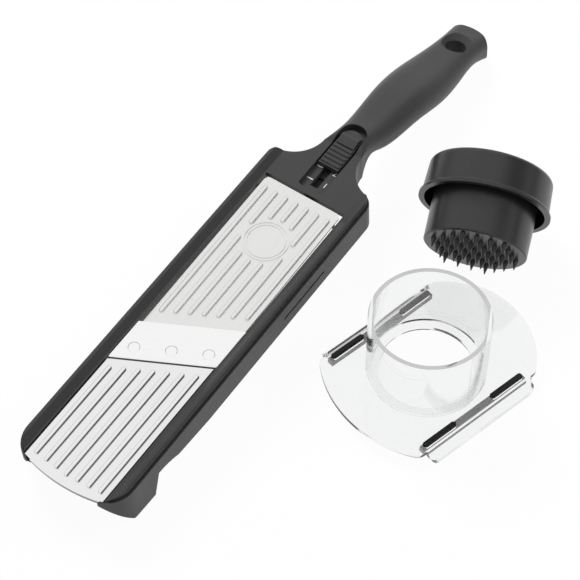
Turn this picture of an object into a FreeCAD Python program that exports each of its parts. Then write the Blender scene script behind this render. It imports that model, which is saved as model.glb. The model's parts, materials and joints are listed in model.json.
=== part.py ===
import FreeCAD, Part
import math
import os
import re
import Sketcher
from FreeCAD import Placement, Rotation, Vector

# Mandoline slicer with its hand carriage and pusher, laid out on a table.
# Millimetres. The slicer is drawn in its own frame: x to the right, y from the feet to the grip, z up
# from the top of its steel plates. It is then tipped on to its feet and the end of its grip.
# The carriage is drawn upright about its collar.
# The pusher is drawn upright about its axis and then laid on its side.

os.makedirs("parts", exist_ok=True)
doc = FreeCAD.newDocument("mandoline")
sheet = doc.addObject("Spreadsheet::Sheet", "Dim")

SIZES = [
    # How the set lies on the table
    ("tilt", 3.5),
    ("plate_height", 26.5),
    ("carriage_right", 112.3),
    ("carriage_far", 180.8),
    ("carriage_turn", 14.8),
    ("pusher_right", 88.7),
    ("pusher_far", 275.3),
    ("pusher_turn", 21.0),
    # Rails and deck
    ("wall_outer", 36.2),
    ("lip", 1.4),
    ("rail_top", 4.0),
    ("rail_round", 1.4),
    ("crest_width", 2.6),
    ("slope_width", 3.8),
    ("web_inner", 27.4),
    ("web_thick", 3.2),
    ("web_depth", 8.0),
    ("rim_top", 0.6),
    ("flange_under", 0.9),
    ("deck_near", 222.8),
    ("deck_thick", 3.6),
    ("corner_run", 9.2),
    ("corner_far", "=deck_near + corner_run"),
    ("shoulder_round", 10.0),
    ("shoulder_turn", 72.0),
    ("neck_half", 13.0),
    ("neck_corner", 0.4),
    # Skirt and feet
    ("wall_thick", 2.4),
    ("wall_depth", 18.0),
    ("groove", 0.8),
    ("foot_near", 5.6),
    ("foot_inner", 24.5),
    ("foot_corner", 18.0),
    ("foot_back", 25.5),
    ("foot_toe", 10.5),
    ("foot_under", 8.0),
    ("foot_front_depth", 0.4),
    ("foot_round", 120.0),
    ("notch_far", 33.0),
    ("notch_depth", 11.2),
    ("notch_run", 17.0),
    ("notch_slope_run", 28.0),
    ("sole_gap", 0.8),
    ("pad_width", 8.4),
    ("pad_length", 10.0),
    ("pad_thick", 2.2),
    ("pad_centre", 18.8),
    ("slit_near", 150.0),
    ("slit_length", 39.0),
    ("slit_depth", 9.0),
    ("slit_height", 1.8),
    # Steel plates and beads
    ("gauge", 1.0),
    ("exit_half", 26.4),
    ("exit_corner", 2.2),
    ("exit_bow", 3.6),
    ("exit_far", 83.7),
    ("exit_lip", 2.6),
    ("slant", 27.0),
    ("bead_pitch", 7.25),
    ("bead_half", 1.25),
    ("bead_height", 1.2),
    ("bead_edge", 0.5),
    ("exit_bead_far", 78.5),
    ("ramp_half", 26.0),
    ("ramp_near", 114.6),
    ("ramp_gap", 1.5),
    ("ramp_far", "=deck_near - ramp_gap"),
    ("ramp_corner", 3.0),
    ("ramp_bead_near", 122.7),
    ("ramp_bead_inset", 6.0),
    ("ramp_bead_far", "=ramp_far - ramp_bead_inset"),
    ("ring_far", 183.4),
    ("ring_radius", 13.6),
    ("ring_width", 0.9),
    ("ring_gap", 0.9),
    ("ring_height", 0.5),
    ("ring_clear", 1.6),
    ("ledge_inner", 22.5),
    ("ledge_thick", 2.0),
    # Blade, carrier and rivets
    ("blade_near", 85.8),
    ("blade_far", 113.2),
    ("blade_half", 27.0),
    ("blade_thick", 1.2),
    ("bevel_run", 4.5),
    ("edge_thick", 0.2),
    ("rivet_far", 93.7),
    ("rivet_pitch", 18.7),
    ("rivet_radius", 3.4),
    ("rivet_edge", 0.4),
    ("rivet_stem", 1.9),
    ("rivet_length", 3.4),
    ("carrier_near", 86.6),
    ("carrier_far", 106.6),
    ("carrier_half", 27.3),
    ("carrier_depth", 6.5),
    ("lug_run", 7.0),
    ("carrier_screw", 24.2),
    # Ramp tray, hinge and setting
    ("setting", 2.0),
    ("mark_pitch", 10.3),
    ("hinge_back", 6.3),
    ("hinge_far", "=ramp_far - hinge_back"),
    ("hinge_depth", 4.6),
    ("barrel_radius", 2.6),
    ("barrel_half", 22.0),
    ("pin_radius", 1.25),
    ("pin_half", 30.2),
    ("tray_half", 24.0),
    ("tray_inset", 3.5),
    ("tray_thick", 1.8),
    ("tray_rib", 3.2),
    ("nub_far", 160.0),
    ("nub_half", 1.6),
    ("nub_depth", 6.0),
    # Thumb slider and sled
    ("recess_start", 3.8),
    ("recess_near", "=deck_near + recess_start"),
    ("recess_length", 53.5),
    ("recess_far", "=recess_near + recess_length"),
    ("recess_half", 8.2),
    ("recess_corner", 2.5),
    ("recess_depth", 2.4),
    ("bed_thick", 3.3),
    ("bed_half", 11.0),
    ("slot_half", 2.6),
    ("slot_start", 4.4),
    ("slot_near", "=recess_near + slot_start"),
    ("slot_length", 35.0),
    ("slot_far", "=slot_near + slot_length"),
    ("thumb_start", 19.4),
    ("thumb_near", "=recess_near + thumb_start"),
    ("thumb_length", 30.0),
    ("thumb_half", 6.8),
    ("thumb_top", 1.0),
    ("thumb_rise", 2.4),
    ("thumb_ribs", 5.0),
    ("rib_pitch", 3.2),
    ("rib_half", 1.1),
    ("rib_height", 0.9),
    ("play", 0.3),
    ("stem_half", 2.2),
    ("stem_start", 4.0),
    ("stem_near", "=thumb_near + stem_start"),
    ("stem_length", 12.5),
    ("sled_half", 7.0),
    ("sled_lead", 5.0),
    ("sled_near", "=thumb_near - sled_lead"),
    ("sled_length", 28.0),
    ("sled_drop", 0.5),
    ("sled_thick", 4.4),
    ("bar_half", 4.0),
    ("bar_near", 150.0),
    ("bar_thick", 2.4),
    ("wedge_near", 154.0),
    ("wedge_length", 23.0),
    ("channel_spare", 6.5),
    ("channel_near", "=sled_near - channel_spare"),
    ("channel_far", "=sled_near + sled_length + channel_spare"),
    ("channel_half", 7.6),
    ("spring_start", 3.0),
    ("spring_near", "=thumb_near + spring_start"),
    ("spring_length", 18.0),
    ("spring_thick", 0.4),
    ("spring_wall", 10.0),
    ("spring_bump", 2.2),
    ("spring_height", 2.6),
    ("screw_start", 9.5),
    ("thumb_screw", "=thumb_near + screw_start"),
    # Screws
    ("screw_head", 3.0),
    ("head_height", 2.0),
    ("screw_shank", 1.5),
    ("screw_grip", 5.0),
    ("screw_seat", 4.0),
    ("drive_half", 0.5),
    ("drive_reach", 2.0),
    ("drive_depth", 1.0),
    ("fit", 0.05),
    # How far forms sink into each other, and how far cutting tools reach past the part
    ("skim", 0.2),
    ("sink", 0.5),
    ("past", 1.0),
    ("beyond", 90.0),
    # Grip
    ("end_run", 5.6),
    ("end_half", 13.4),
    ("end_round", 20.0),
    ("hole_back", 23.1),
    ("hole_radius", 6.5),
    ("hole_flare", 2.5),
    ("hole_lean", 15.0),
    # Carriage
    ("collar_radius", 34.3),
    ("collar_wall", 2.5),
    ("collar_height", 46.0),
    ("throat_radius", 27.0),
    ("base_top", 8.0),
    ("base_thick", 2.4),
    ("base_half", 42.5),
    ("base_near", 43.0),
    ("base_far", 44.0),
    ("near_bow", 14.0),
    ("far_bow", 22.0),
    ("skirt_out", 5.8),
    ("skirt_thick", 2.6),
    ("skirt_near", 38.0),
    ("skirt_far", 40.0),
    ("skirt_round", 5.0),
    ("base_corner", 7.0),
    ("runner_inset", 3.9),
    ("runner_centre", "=base_half - runner_inset"),
    ("runner_half", 2.0),
    ("runner_near", 38.0),
    ("runner_length", 76.0),
    ("runner_depth", 4.0),
    ("bar_width", 3.4),
    ("bar_gap", 26.0),
    ("bar_inset", 0.8),
    ("bar_rise", 1.3),
    # Pusher
    ("cap_radius", 37.2),
    ("cap_draft", 0.8),
    ("cap_height", 23.0),
    ("cap_round", 3.5),
    ("cap_wall", 1.8),
    ("cap_crown", 0.8),
    ("cap_top", 2.6),
    ("flange_radius", 38.7),
    ("flange_thick", 1.5),
    ("flange_sweep", 2.6),
    ("plunger_radius", 30.2),
    ("plunger_draft", 0.4),
    ("plunger_drop", 26.0),
    ("plunger_wall", 2.2),
    ("plunger_bevel", 0.8),
    ("spike_pitch", 8.2),
    ("spike_spin", 14.0),
    ("spike_radius", 1.7),
    ("spike_tip", 0.25),
    ("spike_length", 5.4),
]

# Stations along the grip: run from the last one, drop of the middle, half width, half height, corner.
STATIONS = [
    ("throat", 23.0, 1.2, 12.7, 10.3, 8.5),
    ("swell", 33.0, 6.5, 16.2, 11.9, 11.0),
    ("belly", 26.0, 8.2, 17.1, 12.3, 11.4),
    ("taper", 24.0, 6.6, 14.9, 10.6, 9.8),
    ("wrist", 16.0, 3.3, 13.3, 9.6, 8.8),
    ("heel", 16.0, 6.4, 13.4, 10.4, 7.5),
    ("end", 14.0, 2.6, 13.4, 9.6, 7.0),
]
for station, run, drop, half, tall, corner in STATIONS:
    SIZES.append((station + "_run", run) if station != "end" else ("tail_run", run))
    SIZES.append((station + "_drop", drop))
    SIZES.append((station + "_wide", half))
    SIZES.append((station + "_tall", tall))
    SIZES.append((station + "_corner", corner))

for row, (alias, number) in enumerate(SIZES, 1):
    sheet.set("A%d" % row, alias)
    sheet.set("B%d" % row, str(number))
    sheet.setAlias("B%d" % row, alias)
doc.recompute()

FUNCTIONS = ("sin", "cos", "tan", "atan", "sqrt", "min", "max")


def bound(text):
    """Turn a formula in size names into one that reads the sheet."""
    words = re.compile(r"[a-z]\w*")
    return words.sub(lambda word: word[0] if word[0] in FUNCTIONS else "Dim." + word[0], str(text))


def value(text):
    """Work out a formula in size names."""
    return float(sheet.evalExpression(bound(text)))


def bind(sketch, ties):
    """Add constraints to a sketch in one go. A tie ends in its formula, or in None where it has no size."""
    rows = []
    for kind, spot, formula in ties:
        size = () if formula is None else (value(formula),)
        rows.append(Sketcher.Constraint(kind, *spot, *size))
    for number, tie in zip(sketch.addConstraint(rows), ties):
        if tie[2] is not None:
            sketch.setExpression("Constraints[%d]" % number, bound(tie[2]))


def arc_between(here, there, turn, radius):
    """Make the short arc from one point to another that turns left or right."""
    chord = there - here
    side = Vector(-chord.y, chord.x, 0).normalize()
    reach = math.sqrt(max(radius ** 2 - (chord.Length / 2) ** 2, 0))
    centre = (here + there) / 2 + side * (reach if turn == "left" else -reach)
    first = here if turn == "left" else there
    last = there if turn == "left" else here
    start = math.atan2(first.y - centre.y, first.x - centre.x)
    stop = math.atan2(last.y - centre.y, last.x - centre.x)
    if stop < start:
        stop += 2 * math.pi
    return Part.ArcOfCircle(Part.Circle(centre, Vector(0, 0, 1), radius), start, stop)


def draw(sketch, corners):
    """Draw a closed outline. A corner is (x, y), or (x, y, turn, radius) where an arc leaves it."""
    points = [Vector(value(corner[0]), value(corner[1]), 0) for corner in corners]
    first = sketch.GeometryCount
    edges = []
    ends = []
    for k, corner in enumerate(corners):
        there = points[(k + 1) % len(points)]
        if len(corner) == 2:
            edges.append(Part.LineSegment(points[k], there))
            ends.append((1, 2))
        else:
            edges.append(arc_between(points[k], there, corner[2], value(corner[3])))
            ends.append((1, 2) if corner[2] == "left" else (2, 1))
    sketch.addGeometry(edges)
    ties = []
    for k in range(len(corners)):
        after = (k + 1) % len(corners)
        ties.append(("Coincident", (first + k, ends[k][1], first + after, ends[after][0]), None))
    for k, corner in enumerate(corners):
        ties.append(("DistanceX", (first + k, ends[k][0]), corner[0]))
        ties.append(("DistanceY", (first + k, ends[k][0]), corner[1]))
        if len(corner) > 2:
            ties.append(("Radius", (first + k,), corner[3]))
    bind(sketch, ties)


def draw_circle(sketch, across, along, radius):
    """Draw a full circle."""
    centre = Vector(value(across), value(along), 0)
    number = sketch.addGeometry(Part.Circle(centre, Vector(0, 0, 1), value(radius)))
    bind(sketch, [
        ("DistanceX", (number, 3), across),
        ("DistanceY", (number, 3), along),
        ("Radius", (number,), radius),
    ])


def minus(text):
    """The negative of a formula."""
    return "-(%s)" % text


def both_sides(path, closing=()):
    """Close a path up the right-hand side with its mirror image down the left-hand side."""
    back = []
    for k in range(len(path) - 1, -1, -1):
        edge = tuple(path[k - 1][2:]) if k > 0 else tuple(closing)
        back.append((minus(path[k][0]), path[k][1]) + edge)
    return list(path) + back


def mirrored(corners):
    """The mirror image of a closed outline, drawn the same way round."""
    flipped = []
    for k in range(len(corners) - 1, -1, -1):
        flipped.append((minus(corners[k][0]), corners[k][1]) + tuple(corners[k - 1][2:]))
    return flipped


def new_body(label):
    """Start a sub-part."""
    body = doc.addObject("PartDesign::Body", label)
    body.Label = label
    body.AllowCompound = True
    return body


VIEWS = {"plan": ("XY_Plane", 1), "side": ("YZ_Plane", 1), "front": ("XZ_Plane", -1)}


def view_sketch(body, name, view, level, outlines, circles):
    """Put a sketch on one of the body's own planes, at a level along that view."""
    role, sign = VIEWS[view]
    sketch = body.newObject("Sketcher::SketchObject", name + "_sketch")
    plane = next(item for item in body.Origin.OriginFeatures if item.Role == role)
    sketch.AttachmentSupport = [(plane, "")]
    sketch.MapMode = "FlatFace"
    sketch.setExpression("AttachmentOffset.Base.z", bound(level if sign > 0 else minus(level)))
    for outline in outlines:
        draw(sketch, outline)
    for circle in circles:
        draw_circle(sketch, *circle)
    return sketch


def add(body, name, view, low, high, outlines, circles=()):
    """Add material between two levels, outlined in one view."""
    level = low if VIEWS[view][1] > 0 else high
    pad = body.newObject("PartDesign::Pad", name)
    pad.Profile = view_sketch(body, name, view, level, outlines, circles)
    pad.setExpression("Length", bound("(%s) - (%s)" % (high, low)))
    body.Tip = pad
    doc.recompute()
    return pad


def remove(body, name, view, low, high, outlines, circles=()):
    """Take material away between two levels, outlined in one view."""
    before = body.Shape.Volume
    level = high if VIEWS[view][1] > 0 else low
    pocket = body.newObject("PartDesign::Pocket", name)
    pocket.Profile = view_sketch(body, name, view, level, outlines, circles)
    pocket.setExpression("Length", bound("(%s) - (%s)" % (high, low)))
    body.Tip = pocket
    doc.recompute()
    if not body.Shape.Volume < before:
        raise RuntimeError(name + " took nothing away")
    return pocket


def turn(body, name, outline):
    """Revolve an outline about the upright axis."""
    feature = body.newObject("PartDesign::Revolution", name)
    sketch = view_sketch(body, name, "front", "0", [outline], ())
    feature.Profile = sketch
    feature.ReferenceAxis = (sketch, ["V_Axis"])
    feature.Angle = 360
    body.Tip = feature
    doc.recompute()
    return feature


def soften(body, name, radius, wanted):
    """Round the edges that a test picks out."""
    last = body.Tip
    names = ["Edge%d" % k for k, edge in enumerate(last.Shape.Edges, 1) if wanted(edge)]
    fillet = body.newObject("PartDesign::Fillet", name)
    fillet.Base = (last, names)
    fillet.setExpression("Radius", bound(radius))
    body.Tip = fillet
    doc.recompute()
    return fillet


def level_edge(height):
    """Pick the edges that lie at one height."""
    return lambda edge: all(abs(spot.Point.z - height) < 0.001 for spot in edge.Vertexes)


def join(kind, name, shapes):
    """Combine whole shapes."""
    result = doc.addObject(kind, name)
    if kind in ("Part::MultiFuse", "Part::MultiCommon"):
        result.Shapes = shapes
    elif kind == "Part::Compound":
        result.Links = shapes
    else:
        result.Base, result.Tool = shapes
    doc.recompute()
    return result


def cylinder(name, radius, height, across, along, low):
    """An upright cylinder."""
    form = doc.addObject("Part::Cylinder", name)
    form.setExpression("Radius", bound(radius))
    form.setExpression("Height", bound(height))
    form.setExpression("Placement.Base.x", bound(across))
    form.setExpression("Placement.Base.y", bound(along))
    form.setExpression("Placement.Base.z", bound(low))
    return form


def tool_box(name, view, low, high, outlines, circles=()):
    """A simple solid used only to cut others."""
    body = new_body(name)
    add(body, name + "_form", view, low, high, outlines, circles)
    return body


def rectangle(left, near, right, far):
    """A plain four-cornered outline."""
    return [(left, near), (right, near), (right, far), (left, far)]


def foot_front(radius, across):
    """Where the rounded front of a foot, at one radius, crosses a line along the slicer."""
    reach = "(%s - (%s))" % (across, FOOT_SIDE)
    return "%s - sqrt((%s) * (%s) - %s * %s)" % (FOOT_TURN, radius, radius, reach, reach)


def diagonal(along, across):
    """Where a line parallel to the blade crosses a line along the slicer."""
    return "(%s) + (%s) * tan(slant)" % (along, across)


# Formulas used by several sub-parts
RAIL_OUTER = "wall_outer - lip"
CREST = "wall_outer - lip - crest_width"
RAIL_FOOT = "wall_outer - lip - crest_width - slope_width"
WEB_OUTER = "web_inner + web_thick"
SHOULDER = "corner_far + shoulder_round * sin(shoulder_turn)"
SHOULDER_SIDE = "wall_outer - lip - shoulder_round * (1 - cos(shoulder_turn))"
NECK_ROUND = "(wall_outer - lip - neck_half) / (1 - cos(shoulder_turn)) - shoulder_round"
NECK_FAR = "%s + (%s) * sin(shoulder_turn)" % (SHOULDER, NECK_ROUND)
FOOT_TURN = "foot_corner - foot_near"
FOOT_SIDE = "wall_outer - foot_corner"
NOSE = "foot_corner - lip"
DECK_LOW = "rim_top - deck_thick"
BED_LOW = "-recess_depth - bed_thick"
SLED_TOP = "-recess_depth - bed_thick - sled_drop"
SLED_LOW = "-recess_depth - bed_thick - sled_drop - sled_thick"
CHANNEL_LOW = "-recess_depth - bed_thick - sled_drop - sled_thick - play"
PARTING = "(rim_top - wall_depth) / 2"
BOW_RADIUS = "(exit_half * exit_half + exit_bow * exit_bow) / (2 * exit_bow)"

# The seat tips the slicer on to its feet and the end of its grip
tilt = math.radians(value("tilt"))
seat = Placement(Vector(0, 0, value("plate_height")), Rotation(Vector(1, 0, 0), value("tilt")))
on_table = seat.inverse()

# Grip: rounded sections lofted from the neck to the hooked end
middle_far = NECK_FAR
middle_level = PARTING
sections = []
spine = [(middle_far, middle_level)]


def grip_section(name, far, level, half, tall, corner):
    """One rounded section across the grip."""
    sketch = doc.addObject("Sketcher::SketchObject", name + "_section")
    sketch.Placement = Placement(Vector(0, 0, 0), Rotation(Vector(1, 0, 0), 90))
    sketch.setExpression("Placement.Base.y", bound(far))
    sketch.setExpression("Placement.Base.z", bound(level))
    r = "min(%s, %s - play, %s - play)" % (corner, half, tall)
    draw(sketch, [
        (half, minus("%s - %s" % (tall, r))),
        (half, "%s - %s" % (tall, r), "left", r),
        ("%s - %s" % (half, r), tall),
        (minus("%s - %s" % (half, r)), tall, "left", r),
        (minus(half), "%s - %s" % (tall, r)),
        (minus(half), minus("%s - %s" % (tall, r)), "left", r),
        (minus("%s - %s" % (half, r)), minus(tall)),
        ("%s - %s" % (half, r), minus(tall), "left", r),
    ])
    return sketch


NECK_TALL = "(rim_top + wall_depth) / 2"
sections.append(grip_section("neck", NECK_FAR, PARTING, "neck_half", NECK_TALL, "neck_corner"))
station_far = {}
station_level = {}
for station in [row[0] for row in STATIONS]:
    run = station + "_run" if station != "end" else "tail_run"
    middle_far = "%s + %s" % (middle_far, run)
    middle_level = "%s - %s_drop" % (middle_level, station)
    station_far[station] = middle_far
    station_level[station] = middle_level
    spine.append((middle_far, middle_level))
    sections.append(grip_section(station, middle_far, middle_level, station + "_wide", station + "_tall",
                                 station + "_corner"))
grip_blank = doc.addObject("Part::Loft", "grip_blank")
grip_blank.Sections = sections
grip_blank.Solid = True
doc.recompute()

# The end of the grip is rounded in plan, cut flat on the table and pierced for hanging
END_TURN = station_far["heel"] + " + end_run - end_round + sqrt(end_round^2 - end_half^2)"
end_trim = tool_box("end_trim", "plan", "-beyond", "beyond", [[
    ("beyond", END_TURN),
    ("beyond", END_TURN + " + beyond"),
    ("-beyond", END_TURN + " + beyond"),
    ("-beyond", END_TURN),
    ("-end_half", END_TURN, "right", "end_round"),
    ("end_half", END_TURN),
]])
HOLE_FAR = station_far["heel"] + " + end_run - hole_back"
hole_level = value(station_level["wrist"]) - value("hole_lean") / 10
lean = Rotation(Vector(1, 0, 0), -value("hole_lean"))
hole_middle = Vector(0, value(HOLE_FAR), hole_level)
hole_shaft = doc.addObject("Part::Cylinder", "hole_shaft")
hole_shaft.setExpression("Radius", bound("hole_radius"))
hole_shaft.setExpression("Height", bound("wrist_tall * 6"))
hole_shaft.Placement = Placement(hole_middle + lean.multVec(Vector(0, 0, -3 * value("wrist_tall"))), lean)
flares = []
for name, flip in (("hole_flare_upper", 0), ("hole_flare_lower", 180)):
    flare = doc.addObject("Part::Cone", name)
    flare.setExpression("Radius1", bound("hole_radius"))
    flare.setExpression("Radius2", bound("hole_radius + hole_flare * 2"))
    flare.setExpression("Height", bound("hole_flare * 2"))
    facing = lean.multiply(Rotation(Vector(1, 0, 0), flip))
    rise = value("wrist_tall - hole_flare")
    flare.Placement = Placement(hole_middle + facing.multVec(Vector(0, 0, rise)), facing)
    flares.append(flare)
heel_floor = doc.addObject("Part::Box", "heel_floor")
heel_floor.setExpression("Length", bound("2 * beyond"))
heel_floor.setExpression("Width", bound("3 * beyond"))
heel_floor.setExpression("Height", bound("beyond"))
heel_corner = Vector(-value("beyond"), value(station_far["throat"]), -value("beyond"))
heel_floor.Placement = on_table.multiply(Placement(heel_corner, Rotation()))
grip_tools = join("Part::MultiFuse", "grip_tools", [end_trim, hole_shaft] + flares + [heel_floor])
grip = join("Part::Cut", "grip", [grip_blank, grip_tools])

# The grip parts along its middle line into an upper and a lower half
below = new_body("below_parting")
spine_line = [(spine[0][0] + " - past", spine[0][1])] + spine[1:]
spine_line.append((spine[-1][0] + " + beyond", spine[-1][1]))
spine_line.append((spine[-1][0] + " + beyond", "-2 * beyond"))
spine_line.append((spine[0][0] + " - past", "-2 * beyond"))
add(below, "below_form", "side", "-beyond", "beyond", [list(reversed(spine_line))])
grip_upper = join("Part::Cut", "grip_upper", [grip, below])
grip_lower = join("Part::Common", "grip_lower", [grip, below])

# Channel for the sled and pocket for its leaf spring, cut from both frames
channel = tool_box("channel", "plan", CHANNEL_LOW, BED_LOW, [[
    ("-channel_half", "channel_near"),
    ("channel_half", "channel_near"),
    ("channel_half", "spring_near - 0.1"),
    ("spring_wall", "spring_near - 0.1"),
    ("spring_wall", "spring_near + spring_length + 0.1"),
    ("channel_half", "spring_near + spring_length + 0.1"),
    ("channel_half", "channel_far"),
    ("-channel_half", "channel_far"),
]])

# Screws that hold the two halves of the grip together
SCREWED = ["throat", "swell", "taper"]
bores = []
screws = []
for station in SCREWED:
    far = station_far[station]
    level = station_level[station]
    seat_level = "%s - screw_seat" % level
    stem = "screw_seat + screw_grip"
    bores.append(cylinder(station + "_bore", "screw_shank + fit", stem + " + sink", "0", far, seat_level))
    sink_low = seat_level + " - beyond"
    bores.append(cylinder(station + "_sink", "screw_head + play", "beyond", "0", far, sink_low))
    head = cylinder(station + "_head", "screw_head", "head_height", "0", far, seat_level + " - head_height")
    shank = cylinder(station + "_shank", "screw_shank", stem + " + sink", "0", far, seat_level + " - sink")
    blank = join("Part::MultiFuse", station + "_screw_blank", [head, shank])
    drive = tool_box(station + "_drive", "plan", seat_level + " - head_height - past",
                     seat_level + " - head_height + drive_depth",
                     [rectangle("-drive_reach", far + " - drive_half", "drive_reach", far + " + drive_half")])
    screws.append(join("Part::Cut", station + "_screw", [blank, drive]))
housing_screws = join("Part::Compound", "housing_screws", screws)

# Upper frame: rails, deck and neck
rails = new_body("rails")
right_rail = [
    ("web_inner", "-web_depth"),
    (WEB_OUTER, "-web_depth"),
    (WEB_OUTER, "flange_under"),
    (RAIL_OUTER, "flange_under"),
    (RAIL_OUTER, "rail_top - rail_round", "left", "rail_round"),
    (RAIL_OUTER + " - rail_round", "rail_top"),
    (CREST, "rail_top"),
    (RAIL_FOOT, "rim_top"),
    ("web_inner", "rim_top"),
]
add(rails, "rail_run", "front", "-foot_near", "deck_near + past", [right_rail, mirrored(right_rail)])
nose_cut = [
    ("web_inner - past", foot_front(NOSE, "web_inner - past"), "left", NOSE),
    (RAIL_OUTER, FOOT_TURN),
    (RAIL_OUTER + " + past", FOOT_TURN),
    (RAIL_OUTER + " + past", "-foot_near - past"),
    ("web_inner - past", "-foot_near - past"),
]
remove(rails, "rail_noses", "plan", "-web_depth - past", "rail_top + past", [nose_cut, mirrored(nose_cut)])
deck_path = [
    (RAIL_OUTER, "deck_near"),
    (RAIL_OUTER, "corner_far", "left", "shoulder_round"),
    (SHOULDER_SIDE, SHOULDER),
    ("neck_half", SHOULDER + " + lip"),
]
add(rails, "deck", "plan", DECK_LOW, "rim_top", [both_sides(deck_path)])
ridge = [
    (RAIL_FOOT, "rim_top - skim"),
    (RAIL_OUTER, "rim_top - skim"),
    (RAIL_OUTER, "rail_top - rail_round", "left", "rail_round"),
    (RAIL_OUTER + " - rail_round", "rail_top"),
    (CREST, "rail_top"),
    (RAIL_FOOT, "rim_top"),
]
add(rails, "ridge_ends", "front", "deck_near", SHOULDER, [ridge, mirrored(ridge)])
ridge_trim = [
    (RAIL_OUTER, "corner_far", "left", "shoulder_round"),
    (SHOULDER_SIDE, SHOULDER),
    (SHOULDER_SIDE, SHOULDER + " + past"),
    (RAIL_OUTER + " + past", SHOULDER + " + past"),
    (RAIL_OUTER + " + past", "corner_far"),
]
remove(rails, "ridge_trims", "plan", "rim_top - skim", "rail_top + past", [ridge_trim, mirrored(ridge_trim)])
neck_path = [
    (SHOULDER_SIDE, SHOULDER, "right", NECK_ROUND),
    ("neck_half", NECK_FAR),
]
add(rails, "neck_block", "plan", PARTING, "rim_top", [both_sides(neck_path)])
add(rails, "slider_bed", "plan", BED_LOW, DECK_LOW + " + sink",
    [rectangle("-bed_half", "deck_near", "bed_half", SHOULDER + " + lip + 2")])
right_ledge = [
    ("ledge_inner", "1"),
    ("web_inner + sink", "1"),
    ("web_inner + sink", diagonal("exit_far", "web_inner + sink")),
    ("ledge_inner", diagonal("exit_far", "ledge_inner")),
]
left_ledge = [
    ("-web_inner - sink", "1"),
    ("-ledge_inner", "1"),
    ("-ledge_inner", diagonal("exit_far", "-ledge_inner")),
    ("-web_inner - sink", diagonal("exit_far", "-web_inner - sink")),
]
add(rails, "exit_ledges", "plan", "-gauge - ledge_thick", "-gauge", [right_ledge, left_ledge])
add(rails, "crossbar", "plan", "-gauge - ledge_thick * 2", "-gauge", [[
    ("-web_inner - 1.5", "0"),
    ("-exit_half", "gauge - exit_corner", "left", BOW_RADIUS),
    ("exit_half", "gauge - exit_corner"),
    ("web_inner + 1.5", "0"),
    ("web_inner + 1.5", "7"),
    ("-web_inner - 1.5", "7"),
]])
carrier_mid = "(carrier_near + carrier_far) / 2"
lugs = []
for side in ("", "-"):
    mid = diagonal(carrier_mid, side + "carrier_screw")
    edge = ("carrier_screw - 3.5", "web_inner + sink")
    if side == "-":
        edge = ("-web_inner - sink", "-carrier_screw + 3.5")
    lugs.append(rectangle(edge[0], mid + " - lug_run", edge[1], mid + " + lug_run"))
add(rails, "carrier_lugs", "plan", "-carrier_depth - ledge_thick", "-carrier_depth", lugs)
screw_sides = ("carrier_screw", "-carrier_screw")
screw_spots = [(side, diagonal(carrier_mid, side)) for side in screw_sides]
remove(rails, "lug_holes", "plan", "-carrier_depth - ledge_thick - past", "-carrier_depth + skim", [],
       [(across, along, "screw_shank + fit") for across, along in screw_spots])
remove(rails, "pin_holes", "side", "-beyond", "beyond", [],
       [("hinge_far", "-hinge_depth", "pin_radius + fit / 2")])
upper_blank = join("Part::MultiFuse", "upper_blank", [rails, grip_upper])
recess = tool_box("recess", "plan", "-recess_depth", "beyond", [[
    ("recess_corner - recess_half", "recess_near"),
    ("recess_half - recess_corner", "recess_near", "left", "recess_corner"),
    ("recess_half", "recess_near + recess_corner"),
    ("recess_half", "recess_far - recess_half", "left", "recess_half"),
    ("0", "recess_far", "left", "recess_half"),
    ("-recess_half", "recess_far - recess_half"),
    ("-recess_half", "recess_near + recess_corner", "left", "recess_corner"),
]])
slot = tool_box("slot", "plan", BED_LOW + " - past", "0",
                [rectangle("-slot_half", "slot_near", "slot_half", "slot_far")])
upper_tools = join("Part::MultiFuse", "upper_tools", [recess, slot, channel] + bores)
upper_frame = join("Part::Cut", "upper_frame", [upper_blank, upper_tools])

# Lower frame: skirt, feet, bowl notches and side slits
skirt = new_body("skirt")
WALL_INNER = "wall_outer - wall_thick"
LIP_OUT = "(lip + shoulder_round * (1 - cos(shoulder_turn)))"
LIP_ROUND = "(%s^2 + (shoulder_round * sin(shoulder_turn))^2) / (2 * %s)" % (LIP_OUT, LIP_OUT)
skirt_right = [
    ("foot_inner", foot_front("foot_corner", "foot_inner"), "left", "foot_corner"),
    ("wall_outer", FOOT_TURN),
    ("wall_outer", "corner_far", "left", LIP_ROUND),
    (SHOULDER_SIDE, SHOULDER, "right", NECK_ROUND),
    ("neck_half", NECK_FAR),
]
skirt_inside = [
    ("neck_half", SHOULDER + " - wall_thick"),
    (SHOULDER_SIDE + " - wall_thick", SHOULDER + " - wall_thick"),
    (WALL_INNER, "corner_far"),
    (WALL_INNER, "notch_far - wall_thick"),
    ("foot_inner", "notch_far - wall_thick"),
]
left_inside = [(minus(spot[0]), spot[1]) for spot in reversed(skirt_inside)]
left_outside = both_sides(skirt_right)[len(skirt_right):]
skirt_loop = skirt_right + left_outside + left_inside + skirt_inside
add(skirt, "skirt_wall", "plan", "-beyond", "flange_under - groove", [skirt_loop])
under = [
    ("-beyond", "-beyond"),
    ("5 * beyond", "-beyond"),
    ("5 * beyond", "-wall_depth"),
    ("notch_far + notch_run + notch_slope_run", "-wall_depth"),
    ("notch_far + notch_run", "-(notch_depth + 2 * wall_depth) / 3", "left", "notch_run * 2.2"),
    ("notch_far", "-notch_depth"),
    ("foot_back", "-plate_height - foot_under"),
    ("foot_toe", "-plate_height - foot_under"),
    ("foot_toe", "-plate_height - past", "right", "foot_round"),
    ("-foot_near", "-foot_front_depth"),
    ("-beyond", "-foot_front_depth"),
]
remove(skirt, "underside", "side", "-beyond", "beyond", [under])
shoulder = rectangle(WEB_OUTER + " + play", FOOT_TURN, WALL_INNER + " + sink", "deck_near - past")
add(skirt, "shoulders", "plan", "-2", "flange_under", [shoulder, mirrored(shoulder)])
NOSE_CLEAR = NOSE + " + play"
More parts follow.
